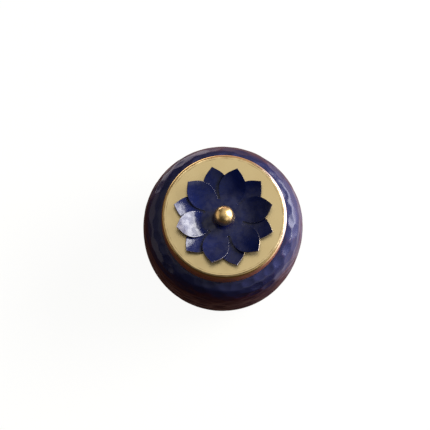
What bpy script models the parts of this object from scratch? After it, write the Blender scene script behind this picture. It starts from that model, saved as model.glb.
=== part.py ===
"""Lidded metal jar: a hammered barrel body, a spun lid, two rosettes of petals and a ball knob.

Metres, +Z up. The origin is the centre of the underside, and the front faces -Y.
"""

import math

import bmesh
import bpy
import numpy as np
from mathutils import Matrix, Vector

# Gap left between two pieces that rest on each other
SEAT_GAP = 0.0003

# Edges turned more sharply than this stay crisp, and the outlines are drawn in this many steps
CRISP_ANGLE = math.radians(40)
OUTLINE_STEPS = 48

# Jar body: beaten sheet with a flat foot, a full belly, a flat ledge and a straight neck
BODY_RADIUS = 0.0610
BODY_WALL = 0.0015
FOOT_RADIUS = 0.0430
BELLY_HEIGHT = 0.0560
LEDGE_HEIGHT = 0.0850
BASE_FULLNESS = 3.3
SHOULDER_FULLNESS = 2.8
LINING_ROWS = 9

# Hammer marks on the outside of the body, in staggered rows
DENT_WIDTH = 0.0120
DENT_HEIGHT = 0.0100
DENT_DEPTH = 0.0004

# Lid: a spun cap whose skirt goes over the neck and stands on the ledge
LID_RADIUS = 0.0471
LID_HEIGHT = 0.0208
LID_WALL = 0.0012
ROLL_WIDTH = 0.0022
ROLL_HEIGHT = 0.0035
ROLL_STEPS = 5
TOP_STEP = 0.0003
NECK_CLEARANCE = 0.0005
RIM_CLEARANCE = 0.0030

# Rosettes: two sheets cut into six petals each, bent up by hand from a flat centre
PETALS = 6
SHEET = 0.0009
SLOT_RADIUS = 0.0145
SLOT_WIDTH = 0.0022
PETAL_WIDTH = 0.0198
PETAL_WIDEST = 0.0225
TIP_FULLNESS = 2.4
OGEE = 0.25
OGEE_POWER = 8
PETAL_CUP = 0.0008
PETAL_ROWS = 8
PETAL_COLUMNS = 6
UPPER_LENGTH = 0.0239
UPPER_BEND = 1.7
UPPER_TURN = math.radians(20.3)
UPPER_LIFTS = (0.0088, 0.0078, 0.0076, 0.0096, 0.0090, 0.0084)
UPPER_LEANS = (-1.5, 0.0, 1.9, -0.3, 0.9, -0.7)
LOWER_LENGTH = 0.0248
LOWER_BEND = 1.8
LOWER_TURN = math.radians(49.8)
LOWER_LIFTS = (0.0060, 0.0062, 0.0070, 0.0068, 0.0068, 0.0070)
LOWER_LEANS = (-0.1, -0.6, 3.0, -0.9, 0.5, -1.9)

# Knob: a ball with its own stud, which goes down through rosettes and lid and is peened over
KNOB_RADIUS = 0.0076
KNOB_SEAT_RADIUS = 0.0030
STUD_RADIUS = 0.0020
STUD_CLEARANCE = 0.0003
PEEN_RADIUS = 0.0036
PEEN_HEIGHT = 0.0012
KNOB_SIDES = 26
KNOB_RINGS = 11

# The stud was fitted a little to the front of the lid's centre
STUD_SHIFT = Vector((-0.00033, -0.00140, 0.0))

# Heights and fits that follow from the sizes above
NECK_RADIUS = LID_RADIUS - LID_WALL - NECK_CLEARANCE
LID_BOTTOM = LEDGE_HEIGHT + SEAT_GAP
LID_TOP = LID_BOTTOM + LID_HEIGHT
LID_UNDERSIDE = LID_TOP - LID_WALL
RIM_HEIGHT = LID_UNDERSIDE - RIM_CLEARANCE
HOLE_RADIUS = STUD_RADIUS + STUD_CLEARANCE
LOWER_DISC_TOP = LID_TOP + SEAT_GAP + SHEET
UPPER_DISC_TOP = LOWER_DISC_TOP + SEAT_GAP + SHEET
KNOB_SEAT = UPPER_DISC_TOP + SEAT_GAP
DENT_COLUMNS = round(math.tau * BODY_RADIUS / DENT_WIDTH)
TURNED_SIDES = 2 * DENT_COLUMNS


def clear_scene():
    for obj in list(bpy.data.objects):
        bpy.data.objects.remove(obj, do_unlink=True)


def metal(name, hex_colour, metallic, roughness):
    """A Principled material of this sRGB colour."""
    channels = [int(hex_colour[i : i + 2], 16) / 255 for i in (0, 2, 4)]
    linear = [c / 12.92 if c <= 0.04045 else ((c + 0.055) / 1.055) ** 2.4 for c in channels]
    material = bpy.data.materials.new(name)
    material.use_nodes = True
    shader = material.node_tree.nodes["Principled BSDF"]
    shader.inputs["Base Color"].default_value = (*linear, 1.0)
    shader.inputs["Metallic"].default_value = metallic
    shader.inputs["Roughness"].default_value = roughness
    material.diffuse_color = (*linear, 1.0)
    return material


def make_object(name, bm, material):
    """Puts the mesh in the scene, with its faces turned outwards and shaded smooth."""
    bmesh.ops.recalc_face_normals(bm, faces=bm.faces[:])
    mesh = bpy.data.meshes.new(name)
    bm.to_mesh(mesh)
    bm.free()
    mesh.shade_smooth()
    mesh.set_sharp_from_angle(angle=CRISP_ANGLE)
    mesh.materials.append(material)
    obj = bpy.data.objects.new(name, mesh)
    bpy.context.scene.collection.objects.link(obj)
    return obj


def quarter_curve(flat_end, side_end, fullness):
    """Quarter of a superellipse from a level start to an upright end, as (radius, height) points."""
    points = []
    for angle in np.linspace(0.0, math.pi / 2, OUTLINE_STEPS + 1):
        out = math.sin(angle) ** (2 / fullness)
        up = max(math.cos(angle), 0.0) ** (2 / fullness)
        radius = flat_end[0] + (side_end[0] - flat_end[0]) * out
        height = side_end[1] + (flat_end[1] - side_end[1]) * up
        points.append((radius, height))
    return points


def lengths_along(points):
    """Distance of each point from the first one, along the line through them."""
    steps = np.linalg.norm(np.diff(np.array(points), axis=0), axis=1)
    return np.concatenate([[0.0], np.cumsum(steps)])


def evenly_spaced(points, count):
    """The same line drawn again with this many equal steps."""
    along = lengths_along(points)
    wanted = np.linspace(0.0, along[-1], count + 1)
    radii = np.interp(wanted, along, [p[0] for p in points])
    heights = np.interp(wanted, along, [p[1] for p in points])
    return list(zip(radii.tolist(), heights.tolist()))


def offset_inwards(points, distance):
    """The line moved sideways, to the left of its own direction, by this distance."""
    line = np.array(points)
    ways = np.gradient(line, axis=0)
    ways /= np.linalg.norm(ways, axis=1)[:, None]
    left = np.stack([-ways[:, 1], ways[:, 0]], axis=1)
    return [tuple(p) for p in (line + left * distance).tolist()]


def turned(profile, sides, along=None):
    """A solid of revolution about Z from (radius, height) points, with each point's value in a layer."""
    bm = bmesh.new()
    layer = bm.verts.layers.float.new("along")
    verts = [bm.verts.new((radius, 0.0, height)) for radius, height in profile]
    for vert, value in zip(verts, along or []):
        vert[layer] = value
    edges = [bm.edges.new(pair) for pair in zip(verts, verts[1:])]
    bmesh.ops.spin(
        bm,
        geom=verts + edges,
        cent=(0.0, 0.0, 0.0),
        axis=(0.0, 0.0, 1.0),
        angle=2 * math.pi,
        steps=sides,
        use_merge=True,
    )
    bmesh.ops.remove_doubles(bm, verts=bm.verts[:], dist=1e-6)
    bmesh.ops.recalc_face_normals(bm, faces=bm.faces[:])
    return bm


def body_outline():
    """The outside of the body from the edge of the foot up to the neck."""
    side = (BODY_RADIUS, BELLY_HEIGHT)
    base = quarter_curve((FOOT_RADIUS, 0.0), side, BASE_FULLNESS)
    shoulder = quarter_curve((NECK_RADIUS, LEDGE_HEIGHT), side, SHOULDER_FULLNESS)
    return base + shoulder[::-1][1:]


def hammer(bm, outline_length, rows):
    """Sinks the staggered marks into the outside, square to the surface, fading at foot and ledge."""
    layer = bm.verts.layers.float["along"]
    row_height = outline_length / rows
    bm.normal_update()
    moves = []
    for vert in bm.verts:
        along = vert[layer]
        if along <= 0.0:
            continue
        around = DENT_COLUMNS * math.atan2(vert.co.y, vert.co.x)
        wave = math.cos(around) * math.cos(math.pi * along / row_height)
        fade = min(1.0, along / row_height, (outline_length - along) / row_height)
        moves.append((vert, vert.normal * (-DENT_DEPTH * fade * (1.0 + wave) / 2)))
    for vert, move in moves:
        vert.co += move


def make_body(material):
    outline = body_outline()
    length = lengths_along(outline)[-1]
    rows = round(length / DENT_HEIGHT)
    outside = evenly_spaced(outline, 2 * rows)
    lining = offset_inwards(evenly_spaced(outline, LINING_ROWS), BODY_WALL)
    lining[0] = (FOOT_RADIUS, BODY_WALL)
    lining[-1] = (NECK_RADIUS - BODY_WALL, LEDGE_HEIGHT - BODY_WALL)
    neck = [(NECK_RADIUS, RIM_HEIGHT), (NECK_RADIUS - BODY_WALL, RIM_HEIGHT)]
    profile = [(0.0, 0.0)] + outside + neck + lining[::-1] + [(0.0, BODY_WALL)]
    along = [0.0] + [length * i / (2 * rows) for i in range(2 * rows + 1)]
    bm = turned(profile, TURNED_SIDES, along)
    hammer(bm, length, rows)
    return make_object("jar_body", bm, material)


def make_lid(material):
    flat_radius = LID_RADIUS - ROLL_WIDTH
    roll_top = LID_TOP - TOP_STEP
    roll_bottom = LID_TOP - ROLL_HEIGHT
    roll_start = flat_radius + TOP_STEP
    roll = []
    for angle in np.linspace(0.0, math.pi / 2, ROLL_STEPS + 1):
        radius = roll_start + (LID_RADIUS - roll_start) * math.sin(angle)
        roll.append((radius, roll_bottom + (roll_top - roll_bottom) * math.cos(angle)))
    inside = LID_RADIUS - LID_WALL
    profile = [(HOLE_RADIUS, LID_TOP), (flat_radius, LID_TOP)] + roll
    profile += [(LID_RADIUS, LID_BOTTOM), (inside, LID_BOTTOM), (inside, roll_bottom)]
    profile += [(flat_radius, LID_UNDERSIDE), (HOLE_RADIUS, LID_UNDERSIDE)]
    bm = turned(profile + profile[:1], TURNED_SIDES)
    for vert in bm.verts:
        if vert.co.xy.length < PEEN_RADIUS:
            vert.co += STUD_SHIFT
    return make_object("lid", bm, material)


def half_width(distance, base_distance, base_width, reach):
    """Half the width of a petal at this distance from the centre: swelling, then an ogee point."""
    widest = PETAL_WIDTH / 2
    if distance < PETAL_WIDEST:
        t = (distance - base_distance) / (PETAL_WIDEST - base_distance)
        return base_width + (widest - base_width) * math.sin(t * math.pi / 2)
    t = min(1.0, (distance - PETAL_WIDEST) / (reach - PETAL_WIDEST))
    return widest * (1 - t**TIP_FULLNESS) * (1 - OGEE * t**OGEE_POWER)


def petal_point(u, v, reach, lift, bend):
    """Point of a petal along +X, u from the crease to the tip and v from one side to the other."""
    half_angle = math.pi / PETALS - math.asin(SLOT_WIDTH / 2 / SLOT_RADIUS)
    base_distance = SLOT_RADIUS * math.cos(half_angle)
    base_width = SLOT_RADIUS * math.sin(half_angle)
    distance = base_distance + (reach - base_distance) * u
    across = math.sin(half_angle * v) / math.sin(half_angle)
    bulge = SLOT_RADIUS * math.cos(half_angle * v) - base_distance
    x = distance + bulge * (1 - u) ** 2
    y = half_width(distance, base_distance, base_width, reach) * across
    curl = min(1.0, 2 * u) * (y / (PETAL_WIDTH / 2)) ** 2
    return Vector((x, y, lift * u**bend + PETAL_CUP * curl))


def add_petal(bm, number, length, lift, lean, bend):
    """Adds one petal to the mesh, and returns the edges along its crease."""
    grid = bmesh.ops.create_grid(bm, x_segments=PETAL_ROWS, y_segments=PETAL_COLUMNS, size=1.0)
    crease = [vert for vert in grid["verts"] if math.isclose(vert.co.x, -1.0, abs_tol=1e-4)]
    reach = SLOT_RADIUS + math.sqrt(length**2 - lift**2)
    for vert in grid["verts"]:
        u = (vert.co.x + 1) / 2
        point = petal_point(u, vert.co.y, reach, lift, bend)
        angle = math.tau * number / PETALS + math.radians(lean) * u
        vert.co = Matrix.Rotation(angle, 3, "Z") @ point
    edges = dict.fromkeys(edge for vert in crease for edge in vert.link_edges)
    return [edge for edge in edges if all(vert in crease for vert in edge.verts)]


def crease_side(vert, crease):
    """How far round this corner lies, anticlockwise from the middle of its own crease."""
    middle = sum((v.co for edge in crease for v in edge.verts), Vector()).normalized()
    return middle.cross(vert.co).z


def make_rosette(name, disc_top, turn, length, bend, lifts, leans, material):
    bm = bmesh.new()
    creases = []
    for number, (lift, lean) in enumerate(zip(lifts, leans)):
        creases.append(add_petal(bm, number, length, lift, lean, bend))
    corners = []
    for crease in creases:
        ends = [vert for edge in crease for vert in edge.verts]
        ends = [vert for vert in ends if ends.count(vert) == 1]
        corners += sorted(ends, key=lambda vert: crease_side(vert, crease))
    rim = [edge for crease in creases for edge in crease]
    for number in range(PETALS):
        left = corners[2 * number + 1]
        rim.append(bm.edges.new((left, corners[(2 * number + 2) % len(corners)])))
    disc = bmesh.ops.extrude_edge_only(bm, edges=rim)
    for item in disc["geom"]:
        if isinstance(item, bmesh.types.BMVert):
            item.co = item.co.normalized() * HOLE_RADIUS
    bmesh.ops.remove_doubles(bm, verts=bm.verts[:], dist=1e-6)
    obj = make_object(name, bm, material)
    if obj.data.polygons[0].normal.z < 0:
        obj.data.flip_normals()
    obj.location = STUD_SHIFT + Vector((0.0, 0.0, disc_top))
    obj.rotation_euler.z = turn
    solid = obj.modifiers.new("sheet", "SOLIDIFY")
    solid.thickness = SHEET
    solid.offset = -1.0
    solid.use_even_offset = True
    return obj


def make_knob(material):
    centre = KNOB_SEAT + math.sqrt(KNOB_RADIUS**2 - KNOB_SEAT_RADIUS**2)
    start = -math.acos(KNOB_SEAT_RADIUS / KNOB_RADIUS)
    peen_top = LID_UNDERSIDE - SEAT_GAP
    profile = [
        (0.0, peen_top - PEEN_HEIGHT),
        (PEEN_RADIUS, peen_top - PEEN_HEIGHT),
        (PEEN_RADIUS, peen_top),
        (STUD_RADIUS, peen_top),
        (STUD_RADIUS, KNOB_SEAT),
    ]
    for angle in np.linspace(start, math.pi / 2, KNOB_RINGS + 1):
        radius = max(0.0, KNOB_RADIUS * math.cos(angle))
        profile.append((radius, centre + KNOB_RADIUS * math.sin(angle)))
    obj = make_object("knob", turned(profile, KNOB_SIDES), material)
    obj.location = STUD_SHIFT
    return obj


clear_scene()
make_body(metal("blue lacquer over hammered copper", "2a2a52", 0.9, 0.3))
make_lid(metal("satin brass", "c3ac7c", 1.0, 0.35))
make_rosette(
    "lower_petals",
    LOWER_DISC_TOP,
    LOWER_TURN,
    LOWER_LENGTH,
    LOWER_BEND,
    LOWER_LIFTS,
    LOWER_LEANS,
    metal("dark blue enamel on the lower sheet", "1c2350", 0.3, 0.25),
)
make_rosette(
    "upper_petals",
    UPPER_DISC_TOP,
    UPPER_TURN,
    UPPER_LENGTH,
    UPPER_BEND,
    UPPER_LIFTS,
    UPPER_LEANS,
    metal("dark blue enamel on the upper sheet", "1c2350", 0.3, 0.25),
)
make_knob(metal("polished brass", "b48c46", 1.0, 0.2))
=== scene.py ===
"""Lidded metal jar: a hammered body in dark blue lacquer, a brass lid, two rosettes of petals and a ball.

Metres, +Z up. The origin is the centre of the underside, and the front faces -Y.
"""

import math

import bmesh
import bpy
import numpy as np
from mathutils import Matrix, Vector


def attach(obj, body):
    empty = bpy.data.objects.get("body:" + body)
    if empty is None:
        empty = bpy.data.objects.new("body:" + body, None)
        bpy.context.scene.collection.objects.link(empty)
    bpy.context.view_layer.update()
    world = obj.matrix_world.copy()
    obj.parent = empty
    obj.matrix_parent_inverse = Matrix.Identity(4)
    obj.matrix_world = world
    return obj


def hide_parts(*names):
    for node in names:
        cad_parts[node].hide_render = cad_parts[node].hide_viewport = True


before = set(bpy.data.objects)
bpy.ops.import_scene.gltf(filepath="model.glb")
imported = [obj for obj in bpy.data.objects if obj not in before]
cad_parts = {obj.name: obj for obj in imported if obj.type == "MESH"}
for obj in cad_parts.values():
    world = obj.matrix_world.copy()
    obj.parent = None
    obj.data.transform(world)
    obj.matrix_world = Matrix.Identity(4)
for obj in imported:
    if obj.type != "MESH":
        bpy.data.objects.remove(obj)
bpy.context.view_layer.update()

# Stage: a plain pale floor, and the camera almost straight above the jar and turned a little round its
# own axis, as the photograph was taken. It looks down at the lid from the front, from far away.
LID_TOP = 0.1061
EYE_HEIGHT = math.radians(80.0)
EYE_ROLL = math.radians(5.9)
EYE_DISTANCE = 2.25
LENS = 251.2
LID_RIGHT_OF_CENTRE = 0.0070
LID_ABOVE_CENTRE = -0.0008

lid_centre = Vector((0.0, 0.0, LID_TOP))
towards_eye = Vector((0.0, -math.cos(EYE_HEIGHT), math.sin(EYE_HEIGHT)))
level_right = Vector((1.0, 0.0, 0.0))
level_up = towards_eye.cross(level_right)
eye_right = level_right * math.cos(EYE_ROLL) + level_up * math.sin(EYE_ROLL)
eye_up = towards_eye.cross(eye_right)
eye = bpy.data.objects.new("camera", bpy.data.cameras.new("camera"))
eye_place = lid_centre + towards_eye * EYE_DISTANCE
eye_place -= eye_right * LID_RIGHT_OF_CENTRE + eye_up * LID_ABOVE_CENTRE
eye_turn = Matrix((eye_right, eye_up, towards_eye)).transposed()
eye.matrix_world = Matrix.Translation(eye_place) @ eye_turn.to_4x4()
eye.data.lens = LENS
eye.data.clip_end = 100.0
bpy.context.scene.collection.objects.link(eye)
bpy.context.scene.camera = eye
bpy.context.scene.view_settings.view_transform = "Standard"


def linear(hex_colour):
    """The linear colour of an sRGB hex value, with an alpha of 1."""
    channels = [int(hex_colour[i : i + 2], 16) / 255 for i in (0, 2, 4)]
    return (*[c / 12.92 if c <= 0.04045 else ((c + 0.055) / 1.055) ** 2.4 for c in channels], 1.0)


def add_node(tree, kind, settings=None, sockets=None):
    """Adds a node with its settings, and with a value or a link for each socket that is given."""
    node = tree.nodes.new(kind)
    for name, value in (settings or {}).items():
        setattr(node, name, value)
    for name, value in (sockets or {}).items():
        if isinstance(value, bpy.types.NodeSocket):
            tree.links.new(value, node.inputs[name])
        else:
            node.inputs[name].default_value = value
    return node


def new_material(name):
    """An empty material, its node tree and its output."""
    material = bpy.data.materials.new(name)
    material.use_nodes = True
    material.node_tree.nodes.clear()
    output = material.node_tree.nodes.new("ShaderNodeOutputMaterial")
    return material, material.node_tree, output


# Paper: a plain white sheet that the jar stands on. It is matt and mostly glows evenly by itself, so that
# the jar's shadow on it stays soft and pale.
FLOOR_SIZE = 40.0
paper, tree, output = new_material("white paper")
glow = add_node(tree, "ShaderNodeEmission", sockets={"Color": linear("fdfdfc"), "Strength": 0.96})
matt = add_node(tree, "ShaderNodeBsdfDiffuse", sockets={"Color": linear("444443")})
both = add_node(tree, "ShaderNodeAddShader", sockets={0: glow.outputs[0], 1: matt.outputs[0]})
tree.links.new(both.outputs[0], output.inputs["Surface"])
bm = bmesh.new()
bmesh.ops.create_grid(bm, x_segments=1, y_segments=1, size=FLOOR_SIZE / 2)
floor_mesh = bpy.data.meshes.new("floor")
bm.to_mesh(floor_mesh)
bm.free()
floor_mesh.materials.append(paper)
floor = bpy.data.objects.new("floor", floor_mesh)
floor.visible_glossy = False
floor.visible_diffuse = False
bpy.context.scene.collection.objects.link(floor)


# Window: one wide window on the right and a little behind, in two parts. The upper part is far brighter,
# and the lower one, just over the table, is warmer. A warm card on the left lights the ball's other side.
WINDOW_AZIMUTH = 29
WINDOW_DISTANCE = 2.4
WINDOW_WIDTH = 1.56


def way_to(azimuth, elevation):
    """The direction at this azimuth from +X and this height over the table, in degrees."""
    turn = math.radians(azimuth)
    climb = math.radians(elevation)
    return math.cos(turn) * math.cos(climb), math.sin(turn) * math.cos(climb), math.sin(climb)


def add_softbox(name, direction, distance, width, height, strength, colour):
    """A rectangular light this far out from the lid's centre, turned towards it, with its strength in
    watts for each square metre."""
    light = bpy.data.lights.new(name, "AREA")
    light.shape = "RECTANGLE"
    light.size = width
    light.size_y = height
    light.energy = strength * width * height
    light.color = linear(colour)[:3]
    box = bpy.data.objects.new(name, light)
    away = Vector(direction).normalized()
    box.location = lid_centre + away * distance
    box.rotation_euler = away.to_track_quat("Z", "Y").to_euler()
    box.visible_camera = False
    bpy.context.scene.collection.objects.link(box)


add_softbox(
    "upper_window",
    way_to(WINDOW_AZIMUTH, 37),
    distance=WINDOW_DISTANCE,
    width=WINDOW_WIDTH,
    height=0.92,
    strength=56.0,
    colour="fffdfa",
)
add_softbox(
    "lower_window",
    way_to(WINDOW_AZIMUTH, 14),
    distance=WINDOW_DISTANCE,
    width=WINDOW_WIDTH,
    height=1.00,
    strength=25.0,
    colour="fff4de",
)
add_softbox(
    "left_card",
    way_to(180, 10),
    distance=1.2,
    width=1.56,
    height=0.88,
    strength=2.1,
    colour="ffeeda",
)

# Room: the camera sees plain white, and the room shows only in the metal and the lacquer. Its walls are
# dim, and the brown table under them is rosier towards the window. Soft pale patches stand for lit walls,
# and those below the table's edge for light that comes back off it.
ROSY_AZIMUTH = 55

# The sockets of a colour mix go by number: its share, the colours at 0 and at 1, and the result.
MIX_SHARE = 0
MIX_FROM = 6
MIX_TO = 7
MIX_RESULT = 2

world = bpy.data.worlds.new("room")
bpy.context.scene.world = world
world.use_nodes = True
tree = world.node_tree
tree.nodes.clear()
aim = add_node(tree, "ShaderNodeTexCoord").outputs["Generated"]
split = add_node(tree, "ShaderNodeSeparateXYZ", sockets={"Vector": aim})
to_window = add_node(
    tree,
    "ShaderNodeVectorMath",
    {"operation": "DOT_PRODUCT"},
    {0: aim, 1: way_to(ROSY_AZIMUTH, 0)},
)
across = add_node(
    tree,
    "ShaderNodeMapRange",
    {"interpolation_type": "SMOOTHSTEP"},
    {"Value": to_window.outputs["Value"], "From Min": -0.35, "From Max": 0.9},
)
below = add_node(
    tree,
    "ShaderNodeMapRange",
    {"interpolation_type": "SMOOTHSTEP"},
    {"Value": split.outputs["Z"], "From Min": 0.05, "From Max": -0.15},
)
table_tone = add_node(
    tree,
    "ShaderNodeMix",
    {"data_type": "RGBA"},
    {MIX_SHARE: across.outputs[0], MIX_FROM: linear("54382c"), MIX_TO: linear("d0b4a8")},
)
room_tone = add_node(
    tree,
    "ShaderNodeMix",
    {"data_type": "RGBA"},
    {MIX_SHARE: below.outputs[0], MIX_FROM: linear("2c2a2e"), MIX_TO: table_tone.outputs[MIX_RESULT]},
)

# Each patch: the way to its middle, the cosines at its rim and where it is full, its colour and strength.
paler_walls = (
    (way_to(90, 80), 0.94, 0.99, "fffaf2", 0.30),
    (way_to(120, 78), 0.80, 0.98, "fffaf2", 0.32),
    (way_to(-45, 58), 0.85, 0.97, "f4f8ff", 0.30),
    (way_to(14, -22), 0.64, 0.82, "e6e2ff", 2.1),
    (way_to(88, -24), 0.80, 0.97, "d8b0b8", 1.1),
    (way_to(90, 46), 0.88, 0.98, "fff8f4", 0.28),
    (way_to(88, 24), 0.80, 0.96, "fff8f0", 0.33),
    (way_to(125, -24), 0.91, 0.97, "f6f2f0", 3.4),
    (way_to(165, 55), 0.85, 0.97, "fffaf2", 0.15),
    (way_to(10, 15), 0.80, 0.95, "fffaf6", 0.90),
    (way_to(-42, 30), 0.94, 0.962, "fffaf6", 1.00),
)
light = room_tone.outputs[MIX_RESULT]
for way, dim, full, colour, strength in paler_walls:
    facing = add_node(tree, "ShaderNodeVectorMath", {"operation": "DOT_PRODUCT"}, {0: aim, 1: way})
    near = add_node(
        tree,
        "ShaderNodeMapRange",
        {"interpolation_type": "SMOOTHSTEP"},
        {"Value": facing.outputs["Value"], "From Min": dim, "From Max": full, "To Max": strength},
    )
    light = add_node(
        tree,
        "ShaderNodeMix",
        {"data_type": "RGBA", "blend_type": "ADD", "clamp_factor": False},
        {MIX_SHARE: near.outputs[0], MIX_FROM: light, MIX_TO: linear(colour)},
    ).outputs[MIX_RESULT]
seen = add_node(tree, "ShaderNodeLightPath")
shown = add_node(
    tree,
    "ShaderNodeMix",
    {"data_type": "RGBA"},
    {MIX_SHARE: seen.outputs["Is Camera Ray"], MIX_FROM: light, MIX_TO: linear("fdfdfc")},
)
surround = add_node(tree, "ShaderNodeBackground", sockets={"Color": shown.outputs[MIX_RESULT]})
add_node(tree, "ShaderNodeOutputWorld", sockets={"Surface": surround.outputs[0]})


# Jar body: copper sheet raised over a stake and planished all over with a hammer, so that it is covered
# with shallow marks, wider than high, in staggered rows. It is lacquered dark blue and worn thin on the
# ridges. Lower down the sides the lacquer is painted redder, a painted sheen for the red shine where the
# side curves away. Its neck is turned up straight and stands inside the lid.
BODY_RADIUS = 0.0610
BODY_WALL = 0.0015
FOOT_RADIUS = 0.0430
BELLY_HEIGHT = 0.0560
LEDGE_HEIGHT = 0.0850
NECK_RADIUS = 0.0454
RIM_HEIGHT = 0.1019
RIM_ROUNDING = 0.0004
BASE_FULLNESS = 3.3
SHOULDER_FULLNESS = 2.8
DENT_COLUMNS = 32
DENT_ROWS = 18
DENT_DEPTH = 0.00065
DENT_BLEND = 0.00007
FAINTEST_DENT = 0.45
DEEPEST_DENT = 1.2
STRAY_ROUND = 0.28
STRAY_ALONG = 0.25
DENT_REACH = 0.6
FULL_DENT_PITCH = 1.15
MEETING_DENTS = 4
STEPS_PER_DENT = 11
STEPS_PER_ROW = 9
LINING_STEPS = 36


def quarter_curve(flat_end, side_end, fullness, steps=96):
    """Quarter of a superellipse from a level start to an upright end, as (radius, height) points."""
    points = []
    for angle in np.linspace(0.0, math.pi / 2, steps + 1):
        out = math.sin(angle) ** (2 / fullness)
        up = max(math.cos(angle), 0.0) ** (2 / fullness)
        radius = flat_end[0] + (side_end[0] - flat_end[0]) * out
        height = side_end[1] + (flat_end[1] - side_end[1]) * up
        points.append((radius, height))
    return points


def evenly_spaced(points, count):
    """The same line drawn again with this many equal steps, and the length of the line."""
    line = np.array(points)
    along = np.concatenate([[0.0], np.cumsum(np.linalg.norm(np.diff(line, axis=0), axis=1))])
    wanted = np.linspace(0.0, along[-1], count + 1)
    radii = np.interp(wanted, along, line[:, 0])
    heights = np.interp(wanted, along, line[:, 1])
    return list(zip(radii.tolist(), heights.tolist())), along[-1]


def offset_inwards(points, distance):
    """The line moved sideways, to the left of its own direction, by this distance."""
    line = np.array(points)
    ways = np.gradient(line, axis=0)
    ways /= np.linalg.norm(ways, axis=1)[:, None]
    left = np.stack([-ways[:, 1], ways[:, 0]], axis=1)
    return [tuple(p) for p in (line + left * distance).tolist()]


def turned(profile, sides):
    """A mesh turned about Z from (radius, height) points, with each point's number kept in a layer."""
    bm = bmesh.new()
    layer = bm.verts.layers.int.new("ring")
    verts = [bm.verts.new((radius, 0.0, height)) for radius, height in profile]
    for number, vert in enumerate(verts):
        vert[layer] = number
    edges = [bm.edges.new(pair) for pair in zip(verts, verts[1:])]
    bmesh.ops.spin(
        bm,
        geom=verts + edges,
        cent=(0.0, 0.0, 0.0),
        axis=(0.0, 0.0, 1.0),
        angle=math.tau,
        steps=sides,
        use_merge=True,
    )
    bmesh.ops.remove_doubles(bm, verts=bm.verts[:], dist=1e-7)
    bmesh.ops.recalc_face_normals(bm, faces=bm.faces[:])
    return bm


def finish_piece(name, bm, materials, crisp_degrees, node):
    """Makes the piece, shades it smooth up to this angle, and lets it stand for its CAD node."""
    mesh = bpy.data.meshes.new(name)
    bm.to_mesh(mesh)
    bm.free()
    mesh.shade_smooth()
    mesh.set_sharp_from_angle(angle=math.radians(crisp_degrees))
    for material in materials:
        mesh.materials.append(material)
    piece = bpy.data.objects.new(name, mesh)
    bpy.context.scene.collection.objects.link(piece)
    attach(piece, "root")
    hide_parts(node)
    return piece


def hammer(bm, rings, outline_length, seed):
    """Sinks a bowl-shaped mark under each blow, square to the surface, and keeps how near the ridges a
    point is, from 0 in the middle of a mark to 1 on a ridge. Strays and reach are shares of the space
    between two blows, and the marks get shallower where the rings are narrow."""
    rng = np.random.default_rng(seed)
    shape = (DENT_ROWS + 1, DENT_COLUMNS)
    stray_round = rng.uniform(-STRAY_ROUND, STRAY_ROUND, shape)
    stray_along = rng.uniform(-STRAY_ALONG, STRAY_ALONG, shape)
    depths = DENT_DEPTH * rng.uniform(FAINTEST_DENT, DEEPEST_DENT, shape)
    ring_layer = bm.verts.layers.int["ring"]
    ridge_layer = bm.verts.layers.float.new("ridge")
    along_layer = bm.verts.layers.float.new("along")
    for vert in bm.verts:
        vert[along_layer] = outline_length * vert[ring_layer] / rings[1]
    bm.normal_update()
    bm.verts.ensure_lookup_table()
    struck = [vert for vert in bm.verts if rings[0] <= vert[ring_layer] <= rings[1]]
    turn = np.array([math.atan2(vert.co.y, vert.co.x) / math.tau % 1.0 for vert in struck]) * DENT_COLUMNS
    out = np.array([vert.co.xy.length for vert in struck])
    climb = np.array([(vert[ring_layer] - rings[0]) / (rings[1] - rings[0]) for vert in struck]) * DENT_ROWS
    pitch = math.tau * out / DENT_COLUMNS
    fullness = np.minimum(1.0, pitch / pitch.max() * FULL_DENT_PITCH)
    levels = [np.zeros(len(struck))]
    nearest_row = np.rint(climb).astype(int)
    for row_step in (-1, 0, 1):
        row = nearest_row + row_step
        inside = (row >= 0) & (row <= DENT_ROWS)
        row = row.clip(0, DENT_ROWS)
        stagger = 0.5 * (row % 2)
        nearest_column = np.rint(turn - stagger).astype(int)
        for column_step in (-1, 0, 1):
            column = (nearest_column + column_step) % DENT_COLUMNS
            off_round = turn - stagger - (nearest_column + column_step) - stray_round[row, column]
            off_along = climb - row - stray_along[row, column]
            spread = off_round**2 + off_along**2
            bowl = depths[row, column] * fullness * (spread / DENT_REACH**2 - 1.0)
            levels.append(np.where(inside, bowl, 0.0))
    levels = np.array(levels)
    # The deepest bowl counts at each point, and the ridge where two bowls meet is softened a little.
    sunk = -DENT_BLEND * np.log(np.exp(-levels / DENT_BLEND).sum(axis=0))
    sunk += DENT_BLEND * math.log(MEETING_DENTS)
    fade = np.minimum(1.0, 2 * np.minimum(climb, DENT_ROWS - climb))
    sunk = np.minimum(sunk, 0.0) * fade
    moves = [vert.normal * float(drop) for vert, drop in zip(struck, sunk)]
    for vert, move, drop in zip(struck, moves, sunk):
        vert.co += move
        vert[ridge_layer] = 1.0 + max(-1.0, float(drop) / DENT_DEPTH)


# Blue lacquer over hammered copper: a film that the metal shines through with a broad violet-blue sheen,
# wine red where it has worn thin on the ridges and in streaks that run round the jar. Lower down the sides
# it is painted wine red as well, a painted sheen for the red shine where the side curves away. A thin
# glossy coat adds a fainter and sharper shine to each mark. The film's gloss varies in patches of a hammer
# mark's size.
STREAK_LENGTH = 0.0263
STREAK_HEIGHT = 0.00588
PATCH_SIZE = 0.0125
RIPPLE_SIZE = 0.005
SHEEN_START_HEIGHT = 0.083
SHEEN_FULL_HEIGHT = 0.070
RIDGE_WEAR = 0.27
SIDE_SHEEN = 0.40

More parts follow.
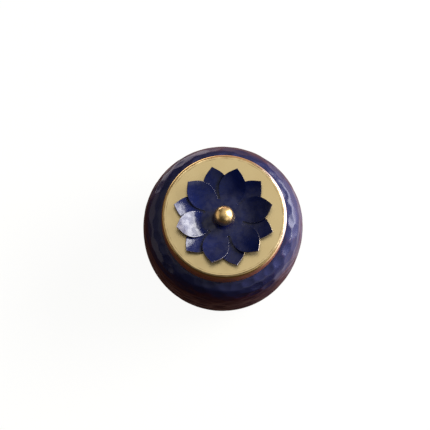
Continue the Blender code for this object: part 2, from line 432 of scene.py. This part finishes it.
lacquer, tree, output = new_material("dark blue lacquer over hammered copper")
place = add_node(tree, "ShaderNodeTexCoord").outputs["Object"]
ridge = add_node(tree, "ShaderNodeAttribute", {"attribute_name": "ridge"}).outputs["Fac"]
along = add_node(tree, "ShaderNodeAttribute", {"attribute_name": "along"}).outputs["Fac"]
split = add_node(tree, "ShaderNodeSeparateXYZ", sockets={"Vector": place})
wrapped = add_node(
    tree,
    "ShaderNodeCombineXYZ",
    sockets={"X": split.outputs["X"], "Y": split.outputs["Y"], "Z": along},
)
stretch = add_node(
    tree,
    "ShaderNodeMapping",
    sockets={
        "Vector": wrapped.outputs[0],
        "Scale": (1 / STREAK_LENGTH, 1 / STREAK_LENGTH, 1 / STREAK_HEIGHT),
    },
)
streaks = add_node(
    tree,
    "ShaderNodeTexNoise",
    sockets={"Vector": stretch.outputs[0], "Scale": 1.0, "Detail": 5.0, "Roughness": 0.6},
)
patches = add_node(
    tree,
    "ShaderNodeTexNoise",
    sockets={"Vector": place, "Scale": 1 / PATCH_SIZE, "Detail": 4.0},
)
# Painted sheen: the film is painted redder lower down the sides, for the red shine where they curve away.
low = add_node(
    tree,
    "ShaderNodeMapRange",
    sockets={
        "Value": split.outputs["Z"],
        "From Min": SHEEN_START_HEIGHT,
        "From Max": SHEEN_FULL_HEIGHT,
    },
)
redness = add_node(
    tree,
    "ShaderNodeMath",
    {"operation": "MULTIPLY_ADD"},
    {0: ridge, 1: RIDGE_WEAR, 2: streaks.outputs["Fac"]},
)
redness = add_node(
    tree,
    "ShaderNodeMath",
    {"operation": "MULTIPLY_ADD"},
    {0: low.outputs[0], 1: SIDE_SHEEN, 2: redness.outputs[0]},
)
# The share of wine red: real wear on the ridges and in the streaks, plus the painted sheen down the sides.
wear_and_sheen = add_node(
    tree,
    "ShaderNodeMapRange",
    {"interpolation_type": "SMOOTHSTEP"},
    {"Value": redness.outputs[0], "From Min": 0.76, "From Max": 1.15},
)
film = add_node(
    tree,
    "ShaderNodeMix",
    {"data_type": "RGBA"},
    {MIX_SHARE: wear_and_sheen.outputs[0], MIX_FROM: linear("272a50"), MIX_TO: linear("46283a")},
)
ripples = add_node(
    tree,
    "ShaderNodeTexNoise",
    sockets={"Vector": place, "Scale": 1 / RIPPLE_SIZE, "Detail": 3.0},
)
skin = add_node(
    tree,
    "ShaderNodeBump",
    sockets={"Height": ripples.outputs["Fac"], "Distance": 0.0003, "Strength": 0.3},
)
gloss = add_node(
    tree,
    "ShaderNodeMapRange",
    sockets={"Value": patches.outputs["Fac"], "To Min": 0.56, "To Max": 0.66},
)
shader = add_node(
    tree,
    "ShaderNodeBsdfPrincipled",
    sockets={
        "Base Color": film.outputs[MIX_RESULT],
        "Metallic": 1.0,
        "Roughness": gloss.outputs[0],
        "Specular Tint": linear("b4706c"),
        "Coat Weight": 0.5,
        "Coat Roughness": 0.22,
        "Normal": skin.outputs[0],
        "Coat Normal": skin.outputs[0],
    },
)
tree.links.new(shader.outputs[0], output.inputs["Surface"])

side = (BODY_RADIUS, BELLY_HEIGHT)
base = quarter_curve((FOOT_RADIUS, 0.0), side, BASE_FULLNESS)
shoulder = quarter_curve((NECK_RADIUS, LEDGE_HEIGHT), side, SHOULDER_FULLNESS)
outside, outline_length = evenly_spaced(base + shoulder[::-1][1:], DENT_ROWS * STEPS_PER_ROW)
lining = offset_inwards(outside, BODY_WALL)
lining[0] = (FOOT_RADIUS, BODY_WALL)
lining[-1] = (NECK_RADIUS - BODY_WALL, LEDGE_HEIGHT - BODY_WALL)
lining, _ = evenly_spaced(lining, LINING_STEPS)
bore = NECK_RADIUS - BODY_WALL
corner = 0.3 * RIM_ROUNDING
rim = [
    (NECK_RADIUS, LEDGE_HEIGHT + RIM_ROUNDING * 2),
    (NECK_RADIUS, RIM_HEIGHT - RIM_ROUNDING),
    (NECK_RADIUS - corner, RIM_HEIGHT - corner),
    (NECK_RADIUS - RIM_ROUNDING, RIM_HEIGHT),
    (bore + RIM_ROUNDING, RIM_HEIGHT),
    (bore + corner, RIM_HEIGHT - corner),
    (bore, RIM_HEIGHT - RIM_ROUNDING),
]
foot = [(0.0, 0.0), (FOOT_RADIUS / 2, 0.0)]
body_profile = foot + outside + rim + lining[::-1] + [(0.0, BODY_WALL)]
bm = turned(body_profile, DENT_COLUMNS * STEPS_PER_DENT)
hammer(bm, (len(foot), len(foot) + len(outside) - 1), outline_length, seed=11)
finish_piece(
    "hammered_body",
    bm,
    [lacquer],
    crisp_degrees=50,
    node="jar_body",
)


# Lid: a cap spun from brass sheet, with a flat top, one fine step before its rolled edge and a straight
# skirt with two turned grooves, which goes over the neck. The top is brushed on the lathe to a satin. The
# edge is smoother and painted pale on the side towards the window, a painted highlight, and the skirt is
# painted brown, a painted dark reflection of the body beside it.
LID_RADIUS = 0.0471
LID_BOTTOM = 0.0853
LID_WALL = 0.0012
ROLL_WIDTH = 0.0022
ROLL_HEIGHT = 0.0035
ROLL_STEPS = 12
TOP_STEP = 0.0003
GROOVE_DEPTH = 0.00025
GROOVE_HALF = 0.0004
LID_SIDES = 256
TOP_RINGS = (0.012, 0.030)
STUD_SHIFT = Vector((-0.00033, -0.00140, 0.0))
HOLE_RADIUS = 0.0023

# Turned brass: warm, pale and satin on top, with rings from the lathe that are drawn coarser than the real
# ones, so that they show. The edge is smoother and painted pale on the side towards the window, a painted
# highlight, and painted a darker dull tan elsewhere, a painted shade. Brown dirt lies along the step and in
# a ring beside it. Going down, the skirt is painted brown and made less metallic, a painted dark reflection
# of the body beside it.
LATHE_RING_PITCH = 0.000714
CLOUD_SIZE = 0.0167
SMEAR_SIZE = 0.00625
EDGE_TONE_START = 0.0450
EDGE_TONE_FULL = 0.0458
LIT_EDGE_AZIMUTH = 22
LIT_EDGE_START = 0.030
LIT_EDGE_FULL = 0.043
STEP_DIRT_RADIUS = 0.0451
STEP_DIRT_REACH = 0.0003
RING_DIRT_RADIUS = 0.0438
RING_DIRT_REACH = 0.00018
SKIRT_PAINT_START = 0.0015
SKIRT_PAINT_FULL = 0.0045

turned_brass, tree, output = new_material("satin turned brass")
place = add_node(tree, "ShaderNodeTexCoord").outputs["Object"]
flat = add_node(
    tree,
    "ShaderNodeVectorMath",
    {"operation": "MULTIPLY"},
    {0: place, 1: (1.0, 1.0, 0.0)},
)
radius = add_node(tree, "ShaderNodeVectorMath", {"operation": "LENGTH"}, {0: flat.outputs[0]})
rings = add_node(
    tree,
    "ShaderNodeTexNoise",
    {"noise_dimensions": "1D"},
    {"W": radius.outputs["Value"], "Scale": 1 / LATHE_RING_PITCH, "Detail": 3.0},
)
cloud = add_node(
    tree,
    "ShaderNodeTexNoise",
    sockets={"Vector": place, "Scale": 1 / CLOUD_SIZE, "Detail": 5.0},
)
split = add_node(tree, "ShaderNodeSeparateXYZ", sockets={"Vector": place})
skirt = add_node(
    tree,
    "ShaderNodeMapRange",
    sockets={
        "Value": split.outputs["Z"],
        "From Min": LID_TOP - SKIRT_PAINT_START,
        "From Max": LID_TOP - SKIRT_PAINT_FULL,
    },
)
tone = add_node(
    tree,
    "ShaderNodeMix",
    {"data_type": "RGBA"},
    {MIX_SHARE: cloud.outputs["Fac"], MIX_FROM: linear("f3dfa9"), MIX_TO: linear("e7cf97")},
)
rolled = add_node(
    tree,
    "ShaderNodeMapRange",
    sockets={
        "Value": radius.outputs["Value"],
        "From Min": EDGE_TONE_START,
        "From Max": EDGE_TONE_FULL,
    },
)
# Painted highlight: the rolled edge is painted pale on the side towards the window, and dull tan elsewhere,
# which is painted shade.
towards_lit_edge = add_node(
    tree,
    "ShaderNodeVectorMath",
    {"operation": "DOT_PRODUCT"},
    {0: place, 1: way_to(LIT_EDGE_AZIMUTH, 0)},
)
lit_side = add_node(
    tree,
    "ShaderNodeMapRange",
    sockets={"Value": towards_lit_edge.outputs["Value"], "From Min": LIT_EDGE_START, "From Max": LIT_EDGE_FULL},
)
roll_tone = add_node(
    tree,
    "ShaderNodeMix",
    {"data_type": "RGBA"},
    {MIX_SHARE: lit_side.outputs[0], MIX_FROM: linear("b89c62"), MIX_TO: linear("e2d8c4")},
)
tone = add_node(
    tree,
    "ShaderNodeMix",
    {"data_type": "RGBA"},
    {
        MIX_SHARE: rolled.outputs[0],
        MIX_FROM: tone.outputs[MIX_RESULT],
        MIX_TO: roll_tone.outputs[MIX_RESULT],
    },
)
step_dirt = add_node(
    tree,
    "ShaderNodeMath",
    {"operation": "COMPARE"},
    {0: radius.outputs["Value"], 1: STEP_DIRT_RADIUS, 2: STEP_DIRT_REACH},
)
ring_dirt = add_node(
    tree,
    "ShaderNodeMath",
    {"operation": "COMPARE"},
    {0: radius.outputs["Value"], 1: RING_DIRT_RADIUS, 2: RING_DIRT_REACH},
)
dirt = add_node(
    tree,
    "ShaderNodeMath",
    {"operation": "ADD"},
    {0: step_dirt.outputs[0], 1: ring_dirt.outputs[0]},
)
smears = add_node(
    tree,
    "ShaderNodeTexNoise",
    sockets={"Vector": place, "Scale": 1 / SMEAR_SIZE, "Detail": 4.0},
)
patchy = add_node(
    tree,
    "ShaderNodeMapRange",
    sockets={"Value": smears.outputs["Fac"], "From Min": 0.38, "From Max": 0.66, "To Max": 0.8},
)
dirt = add_node(
    tree,
    "ShaderNodeMath",
    {"operation": "MULTIPLY"},
    {0: dirt.outputs[0], 1: patchy.outputs[0]},
)
dirty = add_node(
    tree,
    "ShaderNodeMix",
    {"data_type": "RGBA"},
    {MIX_SHARE: dirt.outputs[0], MIX_FROM: tone.outputs[MIX_RESULT], MIX_TO: linear("7a4a20")},
)
# Painted reflection: the skirt is painted brown, for the dark reflection of the body beside it.
painted_skirt = add_node(
    tree,
    "ShaderNodeMix",
    {"data_type": "RGBA"},
    {MIX_SHARE: skirt.outputs[0], MIX_FROM: dirty.outputs[MIX_RESULT], MIX_TO: linear("9c5c2a")},
)
metal_share = add_node(
    tree,
    "ShaderNodeMapRange",
    sockets={"Value": skirt.outputs[0], "To Min": 1.0, "To Max": 0.15},
)
smooth_lit_roll = add_node(
    tree,
    "ShaderNodeMath",
    {"operation": "MULTIPLY"},
    {0: rolled.outputs[0], 1: lit_side.outputs[0]},
)
polish = add_node(
    tree,
    "ShaderNodeMapRange",
    sockets={"Value": smooth_lit_roll.outputs[0], "To Min": 0.30, "To Max": 0.12},
)
scratch = add_node(
    tree,
    "ShaderNodeBump",
    sockets={"Height": rings.outputs["Fac"], "Distance": 0.00002, "Strength": 0.5},
)
shader = add_node(
    tree,
    "ShaderNodeBsdfPrincipled",
    sockets={
        "Base Color": painted_skirt.outputs[MIX_RESULT],
        "Metallic": metal_share.outputs[0],
        "Roughness": polish.outputs[0],
        "Specular Tint": linear("fff0dc"),
        "Coat Weight": 0.3,
        "Coat Roughness": 0.30,
        "Normal": scratch.outputs[0],
    },
)
tree.links.new(shader.outputs[0], output.inputs["Surface"])

flat_radius = LID_RADIUS - ROLL_WIDTH
roll_start = flat_radius + TOP_STEP
roll_bottom = LID_TOP - ROLL_HEIGHT
underside = LID_TOP - LID_WALL
lid_profile = [(ring, LID_TOP) for ring in (HOLE_RADIUS, *TOP_RINGS, flat_radius)]
for angle in np.linspace(0.0, math.pi / 2, ROLL_STEPS + 1):
    radius_here = roll_start + (LID_RADIUS - roll_start) * math.sin(angle)
    lid_profile.append((radius_here, roll_bottom + (ROLL_HEIGHT - TOP_STEP) * math.cos(angle)))
for middle in (roll_bottom - 2 * GROOVE_HALF, (roll_bottom + LID_BOTTOM) / 2):
    lid_profile += [
        (LID_RADIUS, middle + GROOVE_HALF),
        (LID_RADIUS - GROOVE_DEPTH, middle),
        (LID_RADIUS, middle - GROOVE_HALF),
    ]
inside = LID_RADIUS - LID_WALL
lid_profile += [(LID_RADIUS, LID_BOTTOM), (inside, LID_BOTTOM), (inside, roll_bottom)]
lid_profile += [(flat_radius, underside), (HOLE_RADIUS, underside), (HOLE_RADIUS, LID_TOP)]
bm = turned(lid_profile, LID_SIDES)
hole = [vert for vert in bm.verts if math.isclose(vert.co.xy.length, HOLE_RADIUS, rel_tol=0.1)]
bmesh.ops.translate(bm, vec=STUD_SHIFT, verts=hole)
finish_piece("spun_lid", bm, [turned_brass], crisp_degrees=25, node="lid")


# Petals: two sheets cut into six petals each, bent up by hand from a flat centre, the upper one turned by
# half a petal. They are lacquered a glossy dark blue, rubbed bare along their rounded edges, and held down
# by the knob. Towards the right and the back these edges are painted dark, a painted shade.
SEAT_GAP = 0.0003
PETALS = 6
SHEET = 0.0009
SLOT_RADIUS = 0.0145
SLOT_WIDTH = 0.0022
PETAL_WIDTH = 0.0198
PETAL_WIDEST = 0.0225
TIP_FULLNESS = 2.4
OGEE = 0.25
OGEE_POWER = 8
PETAL_ROWS = 44
PETAL_COLUMNS = 24
EDGE_ROUNDING = 0.00036

# Blue lacquer over metal: the metal underneath gives a broad deep-blue sheen on the side that faces the
# light and almost black on the other, under a clear glossy skin. Faint waves from the brush bend its
# highlights, and patches dulled by handling break them up.
BRUSH_WAVE = 0.0091
HANDLING_SIZE = 0.00417

enamel, tree, output = new_material("clear dark blue lacquer")
place = add_node(tree, "ShaderNodeTexCoord").outputs["Object"]
depth = add_node(
    tree,
    "ShaderNodeTexNoise",
    sockets={"Vector": place, "Scale": 1 / BRUSH_WAVE, "Detail": 4.0},
)
pigment = add_node(
    tree,
    "ShaderNodeMix",
    {"data_type": "RGBA"},
    {MIX_SHARE: depth.outputs["Fac"], MIX_FROM: linear("060a2e"), MIX_TO: linear("0b184d")},
)
waves = add_node(
    tree,
    "ShaderNodeTexNoise",
    sockets={"Vector": place, "Scale": 1 / BRUSH_WAVE, "Detail": 2.0},
)
handling = add_node(
    tree,
    "ShaderNodeTexNoise",
    sockets={"Vector": place, "Scale": 1 / HANDLING_SIZE, "Detail": 4.0},
)
gloss = add_node(
    tree,
    "ShaderNodeMapRange",
    sockets={"Value": handling.outputs["Fac"], "From Min": 0.40, "From Max": 0.56, "To Min": 0.60},
)
skin = add_node(
    tree,
    "ShaderNodeBump",
    sockets={"Height": waves.outputs["Fac"], "Distance": 0.0005, "Strength": 0.5},
)
shader = add_node(
    tree,
    "ShaderNodeBsdfPrincipled",
    sockets={
        "Base Color": pigment.outputs[MIX_RESULT],
        "Metallic": 0.6,
        "Roughness": 0.55,
        "Specular IOR Level": 0.0,
        "Coat Weight": gloss.outputs[0],
        "Coat Roughness": 0.17,
        "Normal": skin.outputs[0],
        "Coat Normal": skin.outputs[0],
    },
)
tree.links.new(shader.outputs[0], output.inputs["Surface"])

# Cut edge: the bare metal that shows along the cut, dull grey with a bright line of light. On the left the
# edges show this bare grey, and on the right and at the back they are painted dark, a painted shade.
DARK_EDGE_AZIMUTH = 60
DARK_EDGE_START = 0.008
DARK_EDGE_FULL = 0.018

edge_with_shade, tree, output = new_material("cut edge with painted shade")
place = add_node(tree, "ShaderNodeTexCoord").outputs["Object"]
far_side = add_node(
    tree,
    "ShaderNodeVectorMath",
    {"operation": "DOT_PRODUCT"},
    {0: place, 1: way_to(DARK_EDGE_AZIMUTH, 0)},
)
# Painted shade: the edges towards the back and the right are painted dark.
unshaded = add_node(
    tree,
    "ShaderNodeMapRange",
    sockets={
        "Value": far_side.outputs["Value"],
        "From Min": DARK_EDGE_FULL,
        "From Max": DARK_EDGE_START,
    },
)
edge_tone = add_node(
    tree,
    "ShaderNodeMix",
    {"data_type": "RGBA"},
    {MIX_SHARE: unshaded.outputs[0], MIX_FROM: linear("141630"), MIX_TO: linear("8e8c94")},
)
shader = add_node(
    tree,
    "ShaderNodeBsdfPrincipled",
    sockets={"Base Color": edge_tone.outputs[MIX_RESULT], "Metallic": 1.0, "Roughness": 0.42},
)
tree.links.new(shader.outputs[0], output.inputs["Surface"])


def half_width(distance, base_distance, base_width, reach):
    """Half the width of a petal at this distance from the centre: swelling, then an ogee point."""
    widest = PETAL_WIDTH / 2
    if distance < PETAL_WIDEST:
        t = (distance - base_distance) / (PETAL_WIDEST - base_distance)
        return base_width + (widest - base_width) * math.sin(t * math.pi / 2)
    t = min(1.0, (distance - PETAL_WIDEST) / (reach - PETAL_WIDEST))
    return widest * (1 - t**TIP_FULLNESS) * (1 - OGEE * t**OGEE_POWER)


def petal_point(u, v, reach, lift, bend, cup):
    """Point of a petal along +X, u from the crease to the tip and v from one side to the other."""
    half_angle = math.pi / PETALS - math.asin(SLOT_WIDTH / 2 / SLOT_RADIUS)
    base_distance = SLOT_RADIUS * math.cos(half_angle)
    base_width = SLOT_RADIUS * math.sin(half_angle)
    distance = base_distance + (reach - base_distance) * u
    across = math.sin(half_angle * v) / math.sin(half_angle)
    bulge = SLOT_RADIUS * math.cos(half_angle * v) - base_distance
    x = distance + bulge * (1 - u) ** 2
    y = half_width(distance, base_distance, base_width, reach) * across
    curl = min(1.0, 2 * u) * (y / (PETAL_WIDTH / 2)) ** 2
    return Vector((x, y, lift * u**bend + cup * curl))


def crease_side(vert, crease):
    """How far round this corner lies, anticlockwise from the middle of its own crease."""
    middle = sum((v.co for edge in crease for v in edge.verts), Vector()).normalized()
    return middle.cross(vert.co).z


def make_rosette(name, node, disc_top, turn, length, bend, cup, lifts, leans):
    """One sheet: six petals on a flat disc round the stud's hole, given its thickness and round edges.
    Each petal has its own lift of the tip in metres and its own lean to the side in degrees."""
    bm = bmesh.new()
    creases = []
    corners = []
    for number, (lift, lean) in enumerate(zip(lifts, leans)):
        grid = bmesh.ops.create_grid(bm, x_segments=PETAL_ROWS, y_segments=PETAL_COLUMNS, size=1.0)
        crease = [vert for vert in grid["verts"] if math.isclose(vert.co.x, -1.0, abs_tol=1e-4)]
        reach = SLOT_RADIUS + math.sqrt(length**2 - lift**2)
        for vert in grid["verts"]:
            u = (vert.co.x + 1) / 2
            point = petal_point(u, vert.co.y, reach, lift, bend, cup)
            angle = math.tau * number / PETALS + math.radians(lean) * u
            vert.co = Matrix.Rotation(angle, 3, "Z") @ point
        edges = dict.fromkeys(edge for vert in crease for edge in vert.link_edges)
        edges = [edge for edge in edges if all(vert in crease for vert in edge.verts)]
        ends = [vert for edge in edges for vert in edge.verts]
        ends = [vert for vert in ends if ends.count(vert) == 1]
        corners += sorted(ends, key=lambda vert: crease_side(vert, edges))
        creases += edges
    # The disc's rim runs along each crease and over the slot to the next, and is drawn in to the hole.
    rim = list(creases)
    for number in range(PETALS):
        left = corners[2 * number + 1]
        rim.append(bm.edges.new((left, corners[(2 * number + 2) % len(corners)])))
    disc = bmesh.ops.extrude_edge_only(bm, edges=rim)
    for item in disc["geom"]:
        if isinstance(item, bmesh.types.BMVert):
            item.co = item.co.normalized() * HOLE_RADIUS
    bmesh.ops.remove_doubles(bm, verts=bm.verts[:], dist=1e-6)
    bmesh.ops.recalc_face_normals(bm, faces=bm.faces[:])
    bm.faces.ensure_lookup_table()
    if bm.faces[0].normal.z < 0:
        bmesh.ops.reverse_faces(bm, faces=bm.faces[:])
    spot = Matrix.Translation(STUD_SHIFT + Vector((0.0, 0.0, disc_top)))
    bmesh.ops.transform(bm, matrix=spot @ Matrix.Rotation(turn, 4, "Z"), verts=bm.verts[:])
    materials = [enamel, edge_with_shade]
    piece = finish_piece(name, bm, materials, crisp_degrees=40, node=node)
    solid = piece.modifiers.new("sheet", "SOLIDIFY")
    solid.thickness = SHEET
    solid.offset = -1.0
    solid.use_even_offset = True
    solid.material_offset_rim = materials.index(edge_with_shade)
    rounding = piece.modifiers.new("rounding", "BEVEL")
    rounding.width = EDGE_ROUNDING
    rounding.segments = 3
    rounding.limit_method = "ANGLE"
    rounding.angle_limit = math.radians(60)
    rounding.material = materials.index(edge_with_shade)


lower_top = LID_TOP + SEAT_GAP + SHEET
upper_top = lower_top + SEAT_GAP + SHEET
make_rosette(
    "lower_rosette",
    "lower_petals",
    disc_top=lower_top,
    turn=math.radians(49.8),
    length=0.0248,
    bend=1.8,
    cup=0.0008,
    lifts=(0.0060, 0.0062, 0.0070, 0.0068, 0.0068, 0.0070),
    leans=(-0.1, -0.6, 3.0, -0.9, 0.5, -1.9),
)
make_rosette(
    "upper_rosette",
    "upper_petals",
    disc_top=upper_top,
    turn=math.radians(20.3),
    length=0.0239,
    bend=1.7,
    cup=0.0008,
    lifts=(0.0088, 0.0078, 0.0076, 0.0096, 0.0090, 0.0084),
    leans=(-1.5, 0.0, 1.9, -0.3, 0.9, -0.7),
)


# Knob: a brass ball turned in one with its stud, which goes down through both sheets and the lid and is
# peened over underneath. It was polished once, and handling has left it faintly mottled.
KNOB_RADIUS = 0.0076
KNOB_SEAT_RADIUS = 0.0030
STUD_RADIUS = 0.0020
PEEN_RADIUS = 0.0036
PEEN_HEIGHT = 0.0012
KNOB_SIDES = 96
KNOB_RINGS = 48

# Polished brass: soft golden reflections, clouded in small spots with thin brown tarnish.
KNOB_CLOUD_SIZE = 0.00238

polished_brass, tree, output = new_material("polished brass with handling marks")
place = add_node(tree, "ShaderNodeTexCoord").outputs["Object"]
cloud = add_node(
    tree,
    "ShaderNodeTexNoise",
    sockets={"Vector": place, "Scale": 1 / KNOB_CLOUD_SIZE, "Detail": 6.0},
)
tone = add_node(
    tree,
    "ShaderNodeMix",
    {"data_type": "RGBA"},
    {MIX_SHARE: cloud.outputs["Fac"], MIX_FROM: linear("dcb46a"), MIX_TO: linear("fadc98")},
)
haze = add_node(
    tree,
    "ShaderNodeMapRange",
    sockets={"Value": cloud.outputs["Fac"], "To Min": 0.40, "To Max": 0.26},
)
shader = add_node(
    tree,
    "ShaderNodeBsdfPrincipled",
    sockets={
        "Base Color": tone.outputs[MIX_RESULT],
        "Metallic": 1.0,
        "Roughness": haze.outputs[0],
        "Coat Weight": 1.0,
        "Coat Roughness": 0.30,
    },
)
tree.links.new(shader.outputs[0], output.inputs["Surface"])

knob_seat = upper_top + SEAT_GAP
ball_centre = knob_seat + math.sqrt(KNOB_RADIUS**2 - KNOB_SEAT_RADIUS**2)
peen_top = underside - SEAT_GAP
knob_profile = [
    (0.0, peen_top - PEEN_HEIGHT),
    (PEEN_RADIUS, peen_top - PEEN_HEIGHT),
    (PEEN_RADIUS, peen_top),
    (STUD_RADIUS, peen_top),
    (STUD_RADIUS, knob_seat),
]
for angle in np.linspace(-math.acos(KNOB_SEAT_RADIUS / KNOB_RADIUS), math.pi / 2, KNOB_RINGS + 1):
    radius_here = max(0.0, KNOB_RADIUS * math.cos(angle))
    knob_profile.append((radius_here, ball_centre + KNOB_RADIUS * math.sin(angle)))
bm = turned(knob_profile, KNOB_SIDES)
bmesh.ops.translate(bm, vec=STUD_SHIFT, verts=bm.verts[:])
finish_piece(
    "ball_knob",
    bm,
    [polished_brass],
    crisp_degrees=40,
    node="knob",
)
